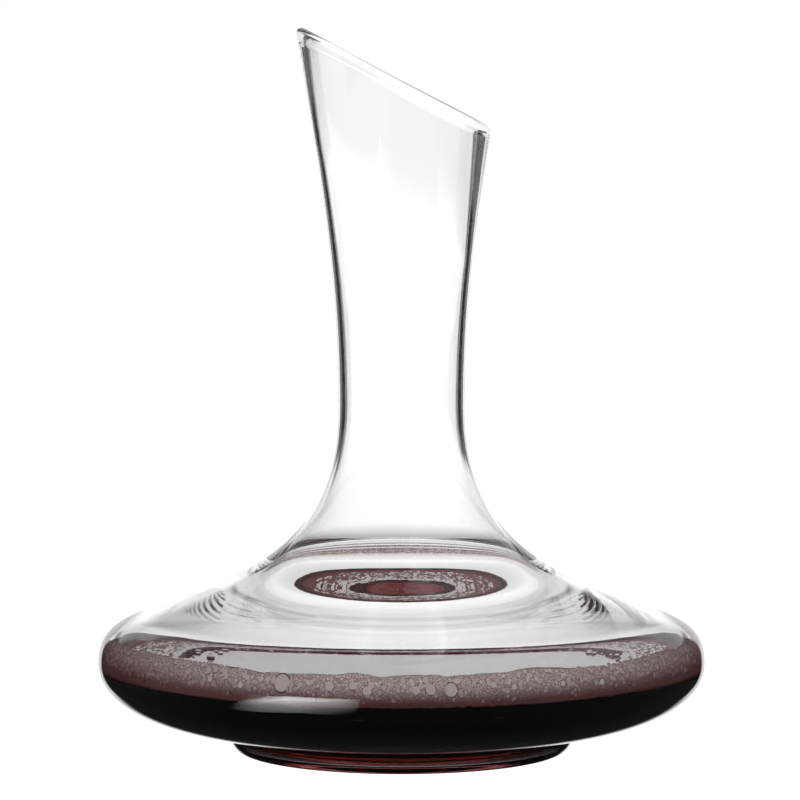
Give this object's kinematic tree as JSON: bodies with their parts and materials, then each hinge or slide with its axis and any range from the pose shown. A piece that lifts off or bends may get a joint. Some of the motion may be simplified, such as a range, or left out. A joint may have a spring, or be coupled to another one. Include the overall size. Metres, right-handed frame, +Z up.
{
  "type": "wine decanter",
  "caption": "Clear glass wine decanter with a wide low bowl on a short hollow foot and a trumpet neck cut on a slant, holding red wine with a ring of froth.",
  "frame": {"origin": "centre of the foot on the resting plane", "axes": "+Z up the axis of the bowl and neck; -X towards the high point of the slanted mouth, +X towards its low side, where it pours; the mirror plane of the mouth is XZ"},
  "size_m": [0.233, 0.233, 0.277],
  "materials": {
    "clear_glass": "colourless blown crystal glass, polished all over, fire-polished lip",
    "red_wine": "deep ruby red wine, still and clear, nearly black through its full depth",
    "wine_froth": "wet pinkish-grey froth of fine bubbles with larger bubbles among them"
  },
  "bodies": {
    "root": {"glass_vessel": "clear_glass", "wine": "red_wine", "froth": "wine_froth"}
  },
  "joints": []
}
